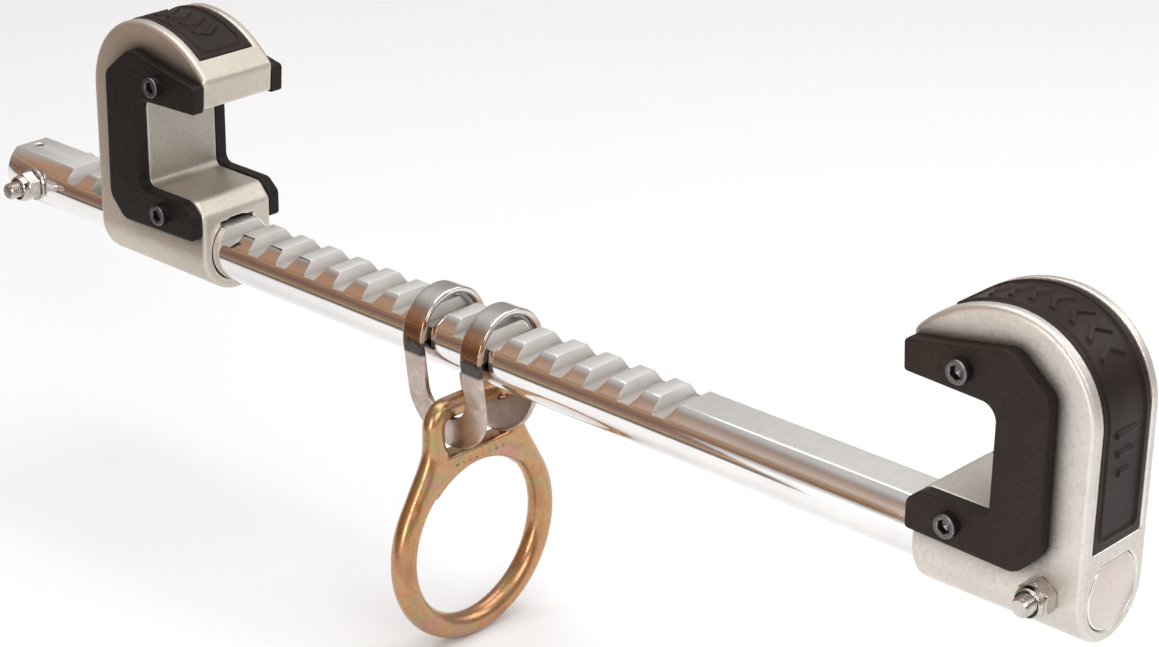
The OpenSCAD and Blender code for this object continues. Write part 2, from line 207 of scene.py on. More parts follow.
def turned(profile, segments=96, turn=0.0):
    """Turned solid about +Z, from (height, radius, half width of a hexagon or None, knurl)."""
    angle = np.arange(segments) * 2 * math.pi / segments + turn
    six = np.cos((angle + math.pi / 6) % (math.pi / 3) - math.pi / 6)
    loops = []
    for height, radius, flat, *knurl in profile:
        r = np.full(segments, float(radius))
        if flat:
            r = np.minimum(r, flat / six)
        if knurl:
            r = r - knurl[0] * (0.5 + 0.5 * np.cos(angle * segments / 4))
        level = np.full(segments, float(height))
        loops.append(np.stack([r * np.cos(angle), r * np.sin(angle), level], 1))
    return loft(loops)


def thread(radius, pitch, length, segments=48, steps=9):
    """Threaded rod end about +Z with a chamfered tip, from height 0 to length."""
    rows = int(length / pitch * steps)
    angle = np.arange(segments) * 2 * math.pi / segments
    loops = []
    for k in range(rows + 1):
        h = length * k / rows
        phase = (h / pitch - angle / (2 * math.pi)) % 1
        tooth = np.clip(np.abs(phase - 0.5) * 2.6 - 0.25, 0, 1)
        r = np.minimum(radius - 0.86 * tooth, radius - 1.1 + max(length - h, 0) * 0.9)
        loops.append(np.stack([r * np.cos(angle), r * np.sin(angle), np.full(segments, h)], 1))
    inner = loops[-1] * np.array([0.35, 0.35, 1]) + np.array([0, 0, 0.05])
    loops.append(inner)
    return loft(loops)


def aim(verts, origin, axis):
    """Turns a solid about +Z so that it points along axis from origin."""
    turn = Vector((0, 0, 1)).rotation_difference(Vector(axis)).to_matrix()
    return np.asarray(verts) @ np.array(turn).T + np.array(origin, float)


def join(parts):
    verts, faces, count = [], [], 0
    for v, f in parts:
        verts.append(v)
        faces += [tuple(int(i) + count for i in face) for face in f]
        count += len(v)
    return np.concatenate(verts), faces


def make(name, verts, faces, body, slot, replaces=(), materials=(), angle=35, flip=False,
         face_material=None, marks=None):
    """Makes one piece from bar millimetres."""
    mesh = bpy.data.meshes.new(name)
    faces = [tuple(int(i) for i in f) for f in faces]
    if flip:
        faces = [f[::-1] for f in faces]
    mesh.from_pydata([tuple(v) for v in place(verts)], [], faces)
    mesh.validate()
    for m in materials:
        mesh.materials.append(m)
    if face_material is not None:
        mesh.polygons.foreach_set("material_index", np.asarray(face_material, np.int32))
    for key, values in (marks or {}).items():
        data = mesh.attributes.new(key, "FLOAT", "POINT")
        data.data.foreach_set("value", np.asarray(values, np.float32))
    mesh.polygons.foreach_set("use_smooth", np.ones(len(mesh.polygons), bool))
    if angle:
        mesh.set_sharp_from_angle(angle=math.radians(angle))
    mesh.update()
    piece = bpy.data.objects.new(name, mesh)
    scene.collection.objects.link(piece)
    if body:
        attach(piece, body)
        if replaces:
            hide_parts(*replaces)
    return piece


def cut(piece, cutter, angle=35):
    """Cuts one closed piece with another, which is then removed."""
    modifier = piece.modifiers.new("cut", "BOOLEAN")
    modifier.operation = "DIFFERENCE"
    modifier.solver = "EXACT"
    modifier.object = cutter
    bpy.context.view_layer.update()
    graph = bpy.context.evaluated_depsgraph_get()
    done = bpy.data.meshes.new_from_object(piece.evaluated_get(graph))
    piece.modifiers.clear()
    piece.data = done
    done.set_sharp_from_angle(angle=math.radians(angle))
    bpy.data.objects.remove(cutter)


# ---------------------------------------------------------------- materials
class Surface:
    """Small helper that builds one node material on a Principled shader."""

    def __init__(self, name, metallic=0.0, specular=0.5, **values):
        self.material = bpy.data.materials.new(name)
        self.material.use_nodes = True
        self.tree = self.material.node_tree
        self.shader = self.tree.nodes["Principled BSDF"]
        self.shader.inputs["Metallic"].default_value = metallic
        self.shader.inputs["Specular IOR Level"].default_value = specular
        for key, value in values.items():
            self.shader.inputs[key.replace("_", " ")].default_value = value
        self.where = self.add("ShaderNodeTexCoord").outputs["Object"]

    def add(self, kind, **settings):
        node = self.tree.nodes.new(kind)
        for key, value in settings.items():
            setattr(node, key, value)
        return node

    def link(self, a, b):
        self.tree.links.new(a, b)

    def stretch(self, scale):
        node = self.add("ShaderNodeMapping")
        node.inputs["Scale"].default_value = scale
        self.link(self.where, node.inputs["Vector"])
        return node.outputs["Vector"]

    def noise(self, scale, detail=3, roughness=0.5, vector=None, distortion=0.0):
        node = self.add("ShaderNodeTexNoise")
        node.inputs["Scale"].default_value = scale
        node.inputs["Detail"].default_value = detail
        node.inputs["Roughness"].default_value = roughness
        node.inputs["Distortion"].default_value = distortion
        self.link(vector or self.where, node.inputs["Vector"])
        return node.outputs["Fac"]

    def cells(self, scale, vector=None, output="Distance"):
        node = self.add("ShaderNodeTexVoronoi")
        node.inputs["Scale"].default_value = scale
        self.link(vector or self.where, node.inputs["Vector"])
        return node.outputs[output]

    def span(self, value, a, b, low=0.0, high=1.0):
        node = self.add("ShaderNodeMapRange")
        node.clamp = True
        for key, number in (("From Min", a), ("From Max", b), ("To Min", low), ("To Max", high)):
            node.inputs[key].default_value = number
        self.link(value, node.inputs["Value"])
        return node.outputs["Result"]

    def math(self, operation, a, b):
        node = self.add("ShaderNodeMath", operation=operation)
        for socket, value in zip(node.inputs, (a, b)):
            if isinstance(value, (int, float)):
                socket.default_value = value
            else:
                self.link(value, socket)
        return node.outputs[0]

    def mix(self, factor, a, b):
        node = self.add("ShaderNodeMix", data_type="RGBA")
        for key, value in ((0, factor), (6, a), (7, b)):
            socket = node.inputs[key]
            if isinstance(value, tuple):
                socket.default_value = (*value, 1)
            elif isinstance(value, (int, float)):
                socket.default_value = value
            else:
                self.link(value, socket)
        return node.outputs[2]

    def bands(self, value, stops):
        node = self.add("ShaderNodeValToRGB")
        ramp = node.color_ramp
        while len(ramp.elements) < len(stops):
            ramp.elements.new(0.5)
        for element, (at, colour) in zip(ramp.elements, stops):
            element.position = at
            element.color = (*colour, 1)
        self.link(value, node.inputs["Fac"])
        return node.outputs["Color"]

    def attribute(self, name):
        return self.add("ShaderNodeAttribute", attribute_name=name).outputs["Fac"]

    def part_of_place(self, axis):
        node = self.add("ShaderNodeSeparateXYZ")
        self.link(self.where, node.inputs[0])
        return node.outputs[axis]

    # Pointiness, high on convex edges and low in hollows. It drives wear, painted highlights on
    # edges and painted shade in hollows.
    def edge_wear_and_painted_light(self):
        return self.add("ShaderNodeNewGeometry").outputs["Pointiness"]

    def colour(self, value):
        self.link(value, self.shader.inputs["Base Color"])

    def rough(self, value):
        self.link(value, self.shader.inputs["Roughness"])

    def bump(self, *layers):
        normal = None
        for height, strength, distance in layers:
            node = self.add("ShaderNodeBump")
            node.inputs["Strength"].default_value = strength
            node.inputs["Distance"].default_value = distance
            self.link(height, node.inputs["Height"])
            if normal is not None:
                self.link(normal, node.inputs["Normal"])
            normal = node.outputs["Normal"]
        self.link(normal, self.shader.inputs["Normal"])


def polished_bar():
    s = Surface("bar_polished", metallic=1.0)
    along = s.stretch((14, 700, 700))
    streaks = s.noise(1.0, 4, 0.6, along)
    patches = s.noise(18, 3)
    s.colour(s.mix(s.span(patches, 0.3, 0.7), (0.90, 0.885, 0.87), (0.82, 0.81, 0.80)))
    dulled = s.span(patches, 0.45, 0.75, 0.0, 0.05)
    s.rough(s.math("ADD", s.span(streaks, 0.35, 0.75, 0.05, 0.12), dulled))
    scratches = s.noise(1.0, 2, 0.5, s.stretch((40, 1600, 1600)))
    s.bump((streaks, 0.05, 0.0003), (scratches, 0.03, 0.0001))
    return s.material


def satin_bar():
    s = Surface("bar_milled", metallic=0.85)
    lines = s.noise(1.0, 3, 0.6, s.stretch((1800, 120, 1800)))
    cloud = s.noise(60, 3)
    base = s.mix(s.span(cloud, 0.3, 0.7), (0.90, 0.88, 0.86), (0.78, 0.76, 0.74))
    height = s.part_of_place(2)
    top = AXIS_Z + FLAT_Z / 1000
    # Painted shade: the notches' floors and walls darker the deeper they lie.
    notch_painted_shade = s.span(height, top - 0.0078, top - 0.0004, 0.62, 0.0)
    s.colour(s.mix(notch_painted_shade, base, (0.30, 0.265, 0.24)))
    s.rough(s.math("ADD", s.span(lines, 0.3, 0.7, 0.30, 0.42), s.span(cloud, 0.4, 0.7, 0.0, 0.08)))
    s.bump((lines, 0.12, 0.0002), (s.noise(900, 2), 0.06, 0.0002))
    return s.material


def casting(name, light, dark):
    s = Surface(name, metallic=0.86)
    cloud = s.noise(22, 4, 0.6)
    fine = s.noise(420, 3, 0.6)
    grain = s.noise(1500, 2, 0.6)
    base = s.mix(s.span(cloud, 0.3, 0.7), light, dark)
    base = s.mix(s.span(fine, 0.52, 0.8, 0.0, 0.5), base, (0.46, 0.44, 0.40))
    # Painted shade: darker beside the pads and in the throat's back corners, from the mark made in
    # build_jaw.
    base = s.mix(s.span(s.attribute("painted_shade"), 0.0, 1.0, 0.0, 0.92), base, (0.12, 0.115, 0.105))
    # Convex edges lightened: wear, and a painted highlight along the rims.
    base = s.mix(s.span(s.edge_wear_and_painted_light(), 0.51, 0.57, 0.0, 0.8), base, (0.95, 0.94, 0.92))
    # Random bright cells: painted glints, also made a little glossier.
    painted_glints = s.span(s.cells(2300, output="Color"), 0.66, 0.86)
    base = s.mix(s.math("MULTIPLY", painted_glints, 0.16), base, (0.92, 0.91, 0.89))
    s.colour(base)
    rough = s.math("ADD", s.span(fine, 0.3, 0.7, 0.40, 0.52), s.math("MULTIPLY", painted_glints, -0.08))
    s.rough(s.math("ADD", rough, s.span(s.edge_wear_and_painted_light(), 0.51, 0.57, 0.0, -0.16)))
    s.bump((grain, 0.45, 0.00020), (fine, 0.22, 0.0004), (cloud, 0.05, 0.001))
    return s.material


def pad_plastic(name, light, dark, specular):
    s = Surface(name, specular=specular)
    fine = s.noise(1100, 3, 0.65)
    grain = s.cells(820, s.stretch((1.0, 1.0, 1.5)))
    cloud = s.noise(60, 3)
    base = s.mix(s.span(cloud, 0.3, 0.7), light, dark)
    base = s.mix(s.span(grain, 0.25, 0.6, 0.0, 0.45), base, (0.008, 0.0055, 0.0045))
    # Edges lightened: painted highlight.
    base = s.mix(s.span(s.edge_wear_and_painted_light(), 0.52, 0.62, 0.0, 0.5), base, (0.075, 0.058, 0.048))
    s.colour(base)
    s.rough(s.span(fine, 0.3, 0.7, 0.40, 0.58))
    s.bump((grain, -0.9, 0.0012), (fine, 0.5, 0.0004), (s.noise(300, 2), 0.3, 0.0009))
    return s.material


def band_plastic():
    s = Surface("band_moulded", specular=0.18)
    fine = s.noise(900, 3, 0.6)
    cloud = s.noise(45, 3)
    base = s.mix(s.span(cloud, 0.3, 0.7), (0.027, 0.0165, 0.0130), (0.016, 0.0100, 0.0080))
    # Edges lightened: wear, and a painted highlight.
    base = s.mix(s.span(s.edge_wear_and_painted_light(), 0.52, 0.62, 0.0, 0.5), base, (0.075, 0.060, 0.050))
    s.colour(base)
    s.rough(s.span(fine, 0.3, 0.7, 0.34, 0.50))
    s.bump((fine, 0.25, 0.0002), (s.noise(220, 2), 0.08, 0.0005))
    return s.material


def black_oxide():
    s = Surface("screw_black", metallic=1.0)
    fine = s.noise(1600, 3)
    base = s.mix(s.span(fine, 0.3, 0.7), (0.17, 0.16, 0.165), (0.11, 0.105, 0.11))
    # Edges lightened: wear through the oxide, and a painted highlight on the rims.
    s.colour(s.mix(s.span(s.edge_wear_and_painted_light(), 0.52, 0.60, 0.0, 0.75), base, (0.50, 0.48, 0.49)))
    rubbed = s.span(s.edge_wear_and_painted_light(), 0.52, 0.60, 0.0, -0.08)
    s.rough(s.math("ADD", s.span(fine, 0.3, 0.7, 0.28, 0.40), rubbed))
    s.bump((fine, 0.15, 0.00015))
    return s.material


def zinc():
    s = Surface("zinc_bright", metallic=1.0)
    fine = s.noise(1200, 3)
    cloud = s.noise(160, 3)
    base = s.mix(s.span(cloud, 0.35, 0.65), (0.66, 0.62, 0.58), (0.52, 0.485, 0.45))
    # Hollows darkened: painted shade.
    s.colour(s.mix(s.span(s.edge_wear_and_painted_light(), 0.40, 0.49, 0.75, 0.0), base, (0.20, 0.18, 0.165)))
    s.rough(s.math("ADD", s.span(fine, 0.3, 0.7, 0.10, 0.22), s.span(cloud, 0.5, 0.75, 0.0, 0.12)))
    s.bump((fine, 0.08, 0.00015), (cloud, 0.06, 0.0004))
    return s.material


def hoop_steel():
    """Tumbled steel. Its dark and copper bands stand in for a room that the hoops would mirror."""
    s = Surface("saddle_tumbled", metallic=1.0)
    height = s.part_of_place(2)
    axis = AXIS_Z
    leg = s.span(height, axis - 0.0068, axis - 0.0092, 0.0, 1.0)
    patches = s.noise(110, 5, 0.65, distortion=0.6)
    dents = s.noise(260, 3)
    fine = s.noise(1300, 3)
    bend = s.bands(s.span(height, axis - 0.010, axis + 0.024), (
        (0.00, (0.52, 0.44, 0.38)),
        (0.09, (0.055, 0.048, 0.044)),
        (0.29, (0.050, 0.044, 0.040)),
        (0.32, (0.38, 0.25, 0.17)),
        (0.64, (0.50, 0.35, 0.25)),
        (0.82, (0.64, 0.61, 0.58)),
        (1.00, (0.72, 0.70, 0.68)),
    ))
    bright = s.mix(s.span(patches, 0.35, 0.7, 0.0, 0.10), bend, (0.60, 0.56, 0.53))
    dull = s.mix(s.span(patches, 0.32, 0.68), (0.60, 0.50, 0.44), (0.42, 0.345, 0.30))
    s.colour(s.mix(leg, bright, dull))
    smooth = s.span(patches, 0.35, 0.7, 0.06, 0.13)
    satin = s.span(patches, 0.3, 0.7, 0.24, 0.38)
    spread = s.add("ShaderNodeMix", data_type="FLOAT")
    s.link(leg, spread.inputs[0])
    s.link(smooth, spread.inputs[2])
    s.link(satin, spread.inputs[3])
    s.rough(spread.outputs[0])
    s.bump((dents, 0.10, 0.0007), (patches, 0.07, 0.0008), (fine, 0.05, 0.0001))
    return s.material


def yellow_zinc():
    s = Surface("ring_yellow", metallic=1.0, Coat_Weight=0.22, Coat_Roughness=0.16)
    drift = s.noise(34, 4, 0.6, distortion=1.2)
    fine = s.noise(420, 4, 0.65)
    base = s.bands(drift, (
        (0.30, (0.44, 0.215, 0.125)),
        (0.42, (0.51, 0.270, 0.130)),
        (0.50, (0.54, 0.295, 0.145)),
        (0.57, (0.41, 0.330, 0.150)),
        (0.63, (0.54, 0.260, 0.210)),
        (0.74, (0.45, 0.270, 0.155)),
    ))
    base = s.mix(s.span(fine, 0.45, 0.75, 0.0, 0.5), base, (0.36, 0.195, 0.095))
    s.colour(s.mix(s.span(s.cells(520), 0.0, 0.10, 0.35, 0.0), base, (0.26, 0.15, 0.08)))
    s.rough(s.math("ADD", s.span(fine, 0.3, 0.7, 0.21, 0.33), s.span(drift, 0.4, 0.7, 0.0, 0.07)))
    s.bump((fine, 0.18, 0.0003), (s.noise(120, 3), 0.09, 0.0010))
    return s.material


def plain(name, light, dark, metallic, rough_low, rough_high, scale=900, bump=0.1):
    """A simple surface with fine colour, gloss and height variation."""
    s = Surface(name, metallic=metallic)
    fine = s.noise(scale, 3, 0.6)
    s.colour(s.mix(s.span(fine, 0.3, 0.7), light, dark))
    s.rough(s.span(s.noise(scale / 5, 3), 0.3, 0.7, rough_low, rough_high))
    s.bump((fine, bump, 0.0002))
    return s.material


POLISHED, MILLED, BAND, OXIDE, ZINC = (
    polished_bar(), satin_bar(), band_plastic(), black_oxide(), zinc())
# The sliding jaw's casting is a darker, warmer copy of the same metal: painted shade, with a
# painted brown reflection.
CAST = {
    "frame": casting("jaw_cast", (0.725, 0.68, 0.625), (0.635, 0.59, 0.54)),
    "slider": casting("sliding_cast", (0.63, 0.575, 0.50), (0.545, 0.49, 0.42)),
}
# The sliding jaw's pads are a darker copy of the same plastic: painted shade.
PAD = {
    "frame": pad_plastic("pad_moulded", (0.040, 0.0255, 0.0200), (0.026, 0.0170, 0.0135), 0.18),
    "slider": pad_plastic("sliding_pad", (0.015, 0.0100, 0.0080), (0.010, 0.0070, 0.0056), 0.20),
}
HOOP, RING = hoop_steel(), yellow_zinc()
NYLON = plain("nylon_dark", (0.020, 0.018, 0.024), (0.012, 0.011, 0.015), 0.0, 0.30, 0.42)
PAWL = plain("pawl_ground", (0.46, 0.46, 0.45), (0.34, 0.34, 0.33), 1.0, 0.24, 0.36)
TAB = plain("tab_moulded", (0.030, 0.028, 0.027), (0.020, 0.019, 0.018), 0.0, 0.40, 0.55, 700, 0.3)
WIRE = plain("spring_wire", (0.66, 0.65, 0.63), (0.52, 0.51, 0.50), 1.0, 0.18, 0.28)
GLIDE = plain("glide_moulded", (0.50, 0.48, 0.45), (0.42, 0.40, 0.38), 0.0, 0.35, 0.5)
FACED = plain("bar_faced", (0.69, 0.61, 0.56), (0.62, 0.545, 0.50), 1.0, 0.20, 0.30, 500, 0.08)
PLUG = plain("plug_black", (0.11, 0.105, 0.105), (0.07, 0.068, 0.068), 1.0, 0.30, 0.42)

for node, material in {
    "nut_inserts": NYLON, "lock_pawl": PAWL, "tab_screw": ZINC, "pawl_spring": WIRE,
    "spring_plug": PLUG, "saddle_liner": GLIDE,
}.items():
    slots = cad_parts[node].material_slots
    for slot in slots:
        slot.material = material


# ---------------------------------------------------------------- notched bar
def bar_section(height, radius):
    """Outline of the round bar cut flat at a height, with a soft corner on each side."""
    low = 7.2 * radius / BAR_R
    split = math.acos(-low / radius)
    soft = 0.28
    y_edge = math.sqrt(radius ** 2 - height ** 2)
    top = math.acos(-(height - soft) / radius)
    side = [(radius * math.sin(a), -radius * math.cos(a)) for a in np.linspace(0, split, 41)]
    side += [(radius * math.sin(a), -radius * math.cos(a)) for a in np.linspace(split, top, 7)[1:]]
    p0, p1, p2 = np.array(side[-1]), np.array((y_edge, height)), np.array((y_edge - soft, height))
    for t in (0.25, 0.5, 0.75):
        side.append(tuple((1 - t) ** 2 * p0 + 2 * t * (1 - t) * p1 + t * t * p2))
    flat = [(y, height) for y in np.linspace(y_edge - soft, soft - y_edge, 13)]
    other = [(-y, z) for y, z in side[1:]][::-1]
    return np.array(side + flat + other)


def bar_stations():
    """Flat height and radius along the bar: bevelled ends and 21 notches."""
    e = 0.8
    rows = [(0, FLAT_Z - e, BAR_R - e), (0.25, FLAT_Z - 0.3, BAR_R - 0.3), (e, FLAT_Z, BAR_R)]
    for i in range(21):
        w = 56.5 + 23.3 * i
        rows += [(w - 0.45, FLAT_Z, BAR_R), (w - 0.14, FLAT_Z - 0.12, BAR_R),
                 (w, FLAT_Z - 0.45, BAR_R), (w + 0.06, NOTCH_Z + 0.35, BAR_R),
                 (w + 0.18, NOTCH_Z + 0.1, BAR_R), (w + 0.5, NOTCH_Z, BAR_R),
                 (w + 7.6, NOTCH_Z, BAR_R), (w + 8.15, NOTCH_Z + 0.3, BAR_R),
                 (w + 12.95, FLAT_Z - 0.45, BAR_R), (w + 13.25, FLAT_Z - 0.12, BAR_R),
                 (w + 13.7, FLAT_Z, BAR_R)]
    rows += [(BAR_END - e, FLAT_Z, BAR_R), (BAR_END - 0.25, FLAT_Z - 0.3, BAR_R - 0.3),
             (BAR_END, FLAT_Z - e, BAR_R - e)]
    return rows


def build_bar():
    loops = []
    for x, height, radius in bar_stations():
        yz = bar_section(height, radius)
        loops.append(np.column_stack([np.full(len(yz), x), yz]))
    n = len(loops[0])
    verts, faces = loft(loops)
    strip_start, strip_end = 41 + 6 + 1, 41 + 6 + 3 + 13 + 1
    pattern = [1 if strip_start <= i < strip_end else 0 for i in range(n)]
    which = pattern * (len(loops) - 1) + [2, 2]
    bar = make("bar_round", verts, faces, "frame", "bar_aluminium", ["notched_bar"],
               [POLISHED, MILLED, FACED], face_material=which, flip=True)
    holes = []
    for side in (-1, 1):
        v, f = turned([(0, 10.35, None), (0.25, 10.6, None), (6, 10.6, None)], 96)
        holes.append((aim(v, (27, side * 18.45, 0), (0, side, 0)), f))
    v, f = turned([(-30, 2.75, None), (FLAT_Z - 0.5, 2.75, None), (FLAT_Z + 0.3, 3.5, None),
                   (FLAT_Z + 5, 3.5, None)], 40)
    holes.append((aim(v, (8.5, 0, 0), (0, 0, 1)), f))
    v, f = join(holes)
    cutter = make("cutter", v, f, None, None, (), [POLISHED, MILLED, FACED],
                  face_material=[1] * len(f))
    cut(bar, cutter, 30)


build_bar()


# ---------------------------------------------------------------- jaw castings
def half_plane(u, z, start, end):
    """Positive on the left of the line from start to end."""
    du, dz = end[0] - start[0], end[1] - start[1]
    size = math.hypot(du, dz)
    return ((u - start[0]) * -dz + (z - start[1]) * du) / size


def throat_field(u, z, back=50.5, top=89.2, low=31.8):
    return np.maximum(round_max(u - back, z - top, 8), round_max(u - back, low - z, 5))


def rim_field(u, z):
    rear = np.hypot(u - 50, np.maximum(z - 81.5, 0)) - 47.5
    front = np.hypot(u - 50, np.maximum(z - 61.5, 0)) - 67.5
    return np.where(u > 50, rear, front)


def pad_outline(u, z):
    """Outline of a side pad, negative inside."""
    ring = [(56, 113.8), (77.2, 96.5), (78.2, 21.6), (66.3, 9.2), (5.7, 10.9)]
    f = half_plane(u, z, (-0.7, 103.3), ring[0])
    for a, b in zip(ring, ring[1:]):
        f = round_max(f, half_plane(u, z, a, b), 3.0)
    tip = half_plane(u, z, (0, 87.6), (-0.9, 103.3))
    foot = round_max(5.4 - u, half_plane(u, z, (5.1, 25.3), (13.6, 32.4)), 2.0)
    f = round_max(f, np.where(z > 60, tip, foot), 2.2)
    slope_top = half_plane(u, z, (0, 87.6), (50.4, 85.6))
    gap = np.maximum(round_max(u - 50.4, slope_top, 8), round_max(u - 50.4, 32.4 - z, 5))
    return round_max(f, -gap, 1.8)


def jaw_field(gap, window):
    def field(u, y, z):
        lip = -0.9968 * u - 0.0805 * (z - 89.2)
        chamfer = -0.734 * (u - 4.5) + 0.679 * (z - 23.8)
        front = np.where(z > 60, lip, round_max(4.5 - u, chamfer, 1.6))
        rim = rim_field(u, z)
        outline = round_max(rim, front, 1.8)
        width = np.hypot(y, np.minimum(z, 0)) - HALF
        f = round_max(outline, width, 2.6)
        f = round_max(f, -throat_field(u, z), 1.5)
        round_hole = np.hypot(y, z) - (BAR_R + gap)
        channel = np.maximum(np.abs(y) - 12.1, np.abs(z - 11.2) - 6.8)
        hole = np.where(u < 17, np.minimum(np.maximum(round_hole, z - 19), channel),
                        np.maximum(round_hole, z - (FLAT_Z + gap)))
        f = round_max(f, -hole, 0.9)
        along = np.where(u < 50, -0.788 * (u - 50) - 0.6157 * (z - 61.5), 23.8 - z)
        pocket = np.maximum(np.maximum(-(rim + 2.2), np.abs(y) - 19.3), along)
        f = round_max(f, -pocket, 0.5)
        if window:
            arm = np.maximum(np.maximum(np.abs(y) - 5.4, np.abs(z - 45.8) - 10.3), TOE_MIDDLE - u)
            toe = np.maximum(np.maximum(np.abs(y) - 8.3, np.abs(u - TOE_MIDDLE) - 3.75),
                             np.abs(z - 30.75) - 25.75)
            spring = np.maximum(np.hypot(u - TOE_MIDDLE, y) - 4.3, 46 - z)
            f = np.maximum(f, -np.minimum(np.minimum(arm, toe), spring))
        return f
    return field


def build_jaw(name, node, body, mapping, flip, gap, window):
    p, quads = skin(jaw_field(gap, window), (-4, -28, -28), (100, 28, 131), 0.9)
    near = pad_outline(p[:, 0], p[:, 2])
    side = np.clip((np.abs(p[:, 1]) - 24.2) / 0.8, 0, 1)
    # Painted shade mark: strongest on the side faces at the pads' edges, fading outwards, plus the
    # throat's back corners.
    painted_shade = side * np.exp(-(np.maximum(near, 0) / 6.0) ** 1.4)
    throat = throat_field(p[:, 0], p[:, 2])
    painted_shade = np.maximum(painted_shade, 0.45 * np.exp(-np.abs(throat) / 1.2)
                       * np.exp(-np.maximum(0, np.abs(p[:, 0] - 50)) / 3.0))
    make(name, mapping(p), quads, body, "jaw_casting", [node], [CAST[body]], angle=0, flip=flip,
         marks={"painted_shade": painted_shade})


build_jaw("fixed_casting", "fixed_jaw", "frame", on_fixed, False, 0.4, False)
build_jaw("sliding_casting", "sliding_jaw", "slider", on_sliding, True, 0.45, True)


# ---------------------------------------------------------------- side pads
def pad_field(u, y, z):
    outline = pad_outline(u, z)
    return np.maximum(round_max(outline, -32.85 - y, 1.3), y + 25.3)


pad_points, pad_quads = skin(pad_field, (-3, -34.5, 7), (81, -24.0, 116), 0.62)
pad_back = pad_points * np.array([1, -1, 1])
for name, node, body, mapping, flip, points in (
    ("fixed_guard_front", "fixed_pad_front", "frame", on_fixed, False, pad_points),
    ("fixed_guard_back", "fixed_pad_back", "frame", on_fixed, True, pad_back),
    ("sliding_guard_front", "sliding_pad_front", "slider", on_sliding, True, pad_points),
    ("sliding_guard_back", "sliding_pad_back", "slider", on_sliding, False, pad_back),
):
    make(name, mapping(points), pad_quads, body, "pad_plastic", [node], [PAD[body]], angle=0,
         flip=flip)


# ---------------------------------------------------------------- cap screws
SCREW = [(-16, 0.4, None), (-16, 3.1, None), (-15.2, 3.95, None), (0, 3.95, None),
         (0.02, 5.7, None), (0.25, 5.95, None), (0.5, 5.95, None, 0.0), (0.8, 5.98, None, 0.22),
         (6.6, 5.98, None, 0.22), (6.9, 5.95, None, 0.0), (7.3, 5.92, None), (7.68, 5.72, None),
         (7.86, 5.4, None), (7.9, 5.0, None), (7.9, 4.15, None), (7.84, 3.9, 3.55),
         (7.5, 4.5, 3.2), (3.9, 4.5, 3.18), (3.7, 2.9, 3.0), (3.2, 0.2, None)]


def build_screws(name, node, body, mapping, flip):
    parts = []
    for at in ((31.5, 97.8), (30.7, 21.8)):
        for side in (-1, 1):
            v, f = turned(SCREW, 144, 0.35 * side + at[1] * 0.01)
            v = aim(v, (at[0], side * (HALF + 7.6 - 2.8), at[1]), (0, side, 0))
            parts.append((v, f))
    v, f = join(parts)
    make(name, mapping(v), f, body, "black_screw", [node], [OXIDE], angle=32, flip=flip)


build_screws("fixed_cap_screws", "fixed_pad_screws", "frame", on_fixed, False)
build_screws("sliding_cap_screws", "sliding_pad_screws", "slider", on_sliding, True)


# ---------------------------------------------------------------- bands
def band_path():
    """Points and outward directions on the pocket's floor, from its front to its foot."""
    rows = []
    for a in np.linspace(math.radians(127.7), math.radians(90), 95):
        rows.append((50 + 65.3 * math.cos(a), 61.5 + 65.3 * math.sin(a), math.cos(a), math.sin(a)))
    for a in np.linspace(math.radians(90), 0, 150)[1:]:
        rows.append((50 + 45.3 * math.cos(a), 81.5 + 45.3 * math.sin(a), math.cos(a), math.sin(a)))
    for z in np.linspace(81.5, 24.1, 116)[1:]:
        rows.append((95.3, z, 1.0, 0.0))
    return np.array(rows)


def step_up(x, width=0.45):
    return 0.5 + 0.5 * np.tanh(x / width * 2)


def bar_mark(along, across, centre, size):
    """A short raised bar in a band's panel."""
    a = np.abs(along - centre[0]) - size[0] / 2
    c = np.abs(across - centre[1]) - size[1] / 2
    return step_up(-np.maximum(a, c), 0.3)


def band_height(along, across, length):
    """Height over the pocket floor: a margin, a bead round the panel and a plain raised pattern."""
    edge = np.minimum(np.minimum(along, length - along), 19.0 - np.abs(across))
    side = np.maximum(9 - np.minimum(along, length - along), 0)
    reach = np.maximum(9 - (19.0 - np.abs(across)), 0)
    inner = np.where((side > 0) & (reach > 0), 9 - np.hypot(side, reach), edge)
    margin = 1.75 * np.ones_like(along)
    bead = np.exp(-((inner - 4.4) / 0.60) ** 2) * 0.95
    panel = -0.35 * step_up(inner - 5.4)
    rounding = -0.9 * np.exp(-edge / 0.35)
    pattern = np.zeros_like(along)
    for k in range(7):
        shift = along - (16 + 10.5 * k) - np.abs(across) * 0.55
        stripe = step_up(1.5 - np.abs(shift), 0.3) * step_up(8.5 - np.abs(across), 0.3)
        pattern = np.maximum(pattern, stripe)
    for k in range(3):
        block = bar_mark(along, across, (length - 54 + 9.5 * k, 0), (3.0, 15 - 3.5 * k))
        pattern = np.maximum(pattern, block)
    return margin + bead + panel + rounding + 1.25 * pattern


